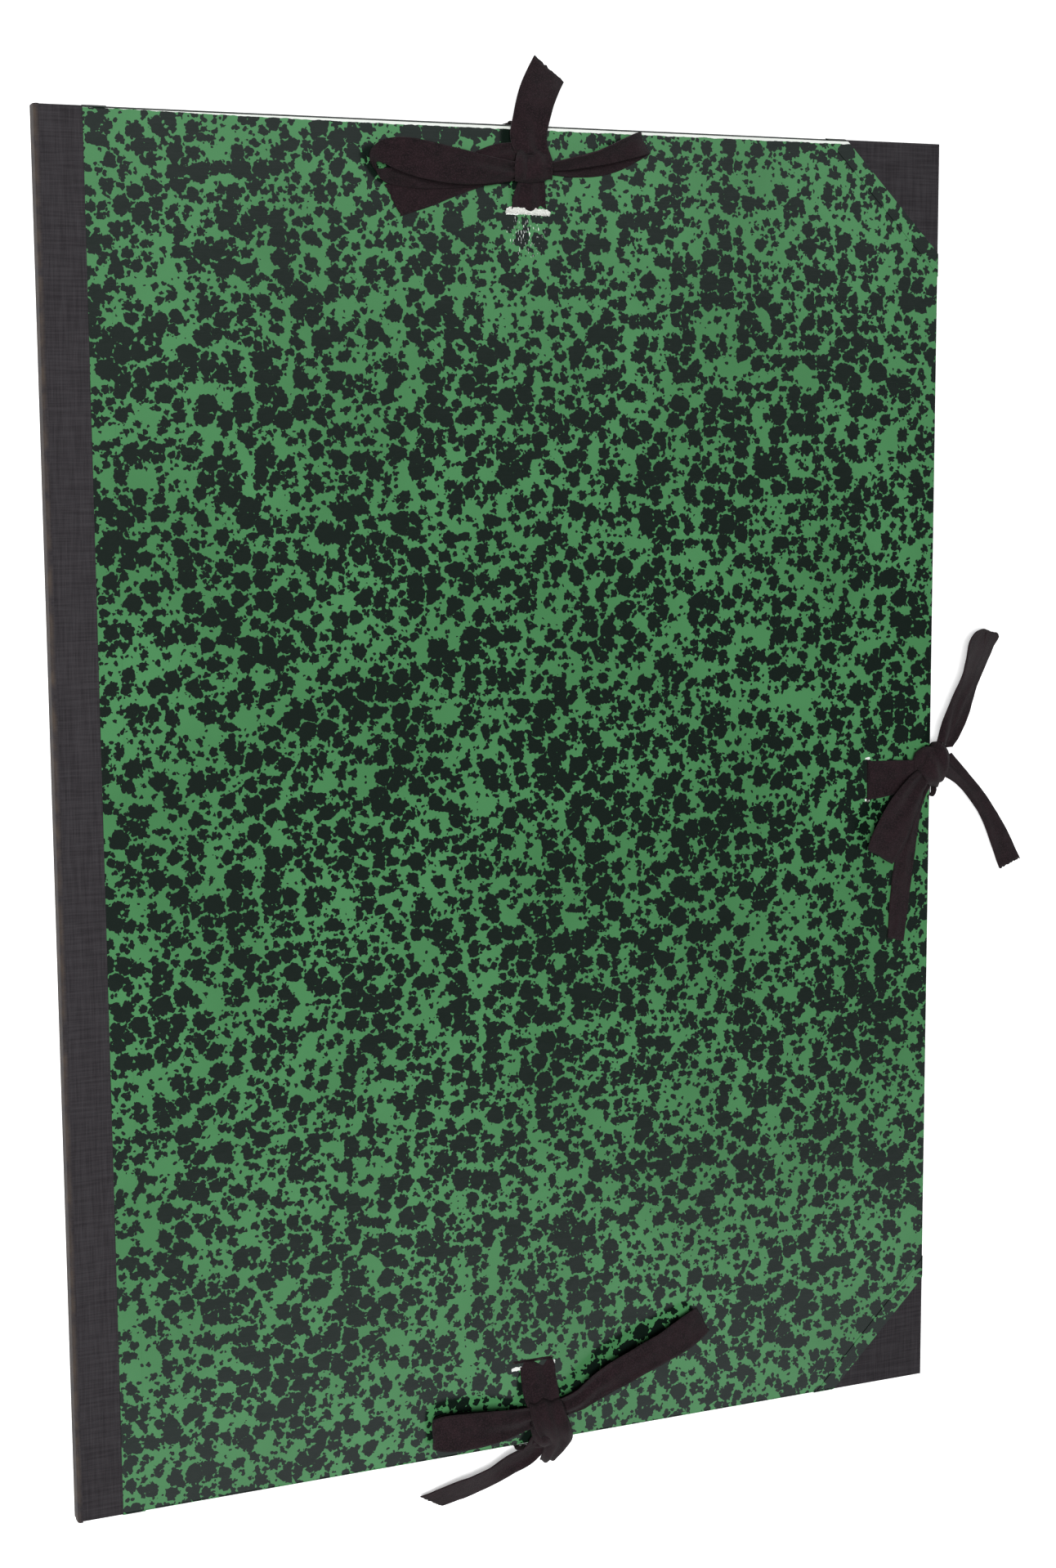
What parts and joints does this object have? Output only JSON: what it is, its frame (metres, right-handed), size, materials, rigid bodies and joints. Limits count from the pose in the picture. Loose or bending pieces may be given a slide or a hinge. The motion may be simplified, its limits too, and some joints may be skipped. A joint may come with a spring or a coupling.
{
  "type": "art portfolio folder",
  "caption": "Large flat portfolio folder: marbled paper boards on a cloth spine with cloth corners, tied shut with ribbon bows at head, fore edge and tail.",
  "frame": {"origin": "centre of the back cover's outer face", "axes": "+X to the fore edge, +Y to the head, +Z out of the front cover; the folder lies on its back cover"},
  "size_m": [0.42, 0.5684, 0.0205],
  "materials": {
    "marbled_paper": "glossy printed paper, near-black blots on mid green",
    "book_cloth": "matt charcoal linen book cloth",
    "greyboard": "matt grey board",
    "lining_paper": "matt off-white paper",
    "ribbon": "dark aubergine-brown woven cotton ribbon, slight sheen"
  },
  "bodies": {
    "back_cover": {"back_board": "greyboard", "back_cover_paper": "marbled_paper", "back_lining_paper": "lining_paper", "back_spine_cloth": "book_cloth", "back_top_corner_cloth": "book_cloth", "back_bottom_corner_cloth": "book_cloth", "back_hinge_lining": "book_cloth", "back_top_ribbon": "ribbon", "back_side_ribbon": "ribbon", "back_bottom_ribbon": "ribbon"},
    "spine": {"spine_cloth": "book_cloth", "spine_lining": "book_cloth"},
    "front_cover": {"front_board": "greyboard", "front_cover_paper": "marbled_paper", "front_lining_paper": "lining_paper", "front_spine_cloth": "book_cloth", "front_top_corner_cloth": "book_cloth", "front_bottom_corner_cloth": "book_cloth", "front_hinge_lining": "book_cloth", "front_top_ribbon": "ribbon", "front_side_ribbon": "ribbon", "front_bottom_ribbon": "ribbon", "top_bow": "ribbon", "side_bow": "ribbon", "bottom_bow": "ribbon"}
  },
  "joints": [
    {"name": "spine_fold", "type": "hinge", "parent": "back_cover", "child": "spine", "pos_m": [-0.1845, 0, 0.0005], "axis": [0, -1, 0], "range_deg": [0, 90]},
    {"name": "cover_fold", "type": "hinge", "parent": "spine", "child": "front_cover", "pos_m": [-0.1845, 0, 0.0075], "axis": [0, -1, 0], "range_deg": [0, 90]}
  ]
}
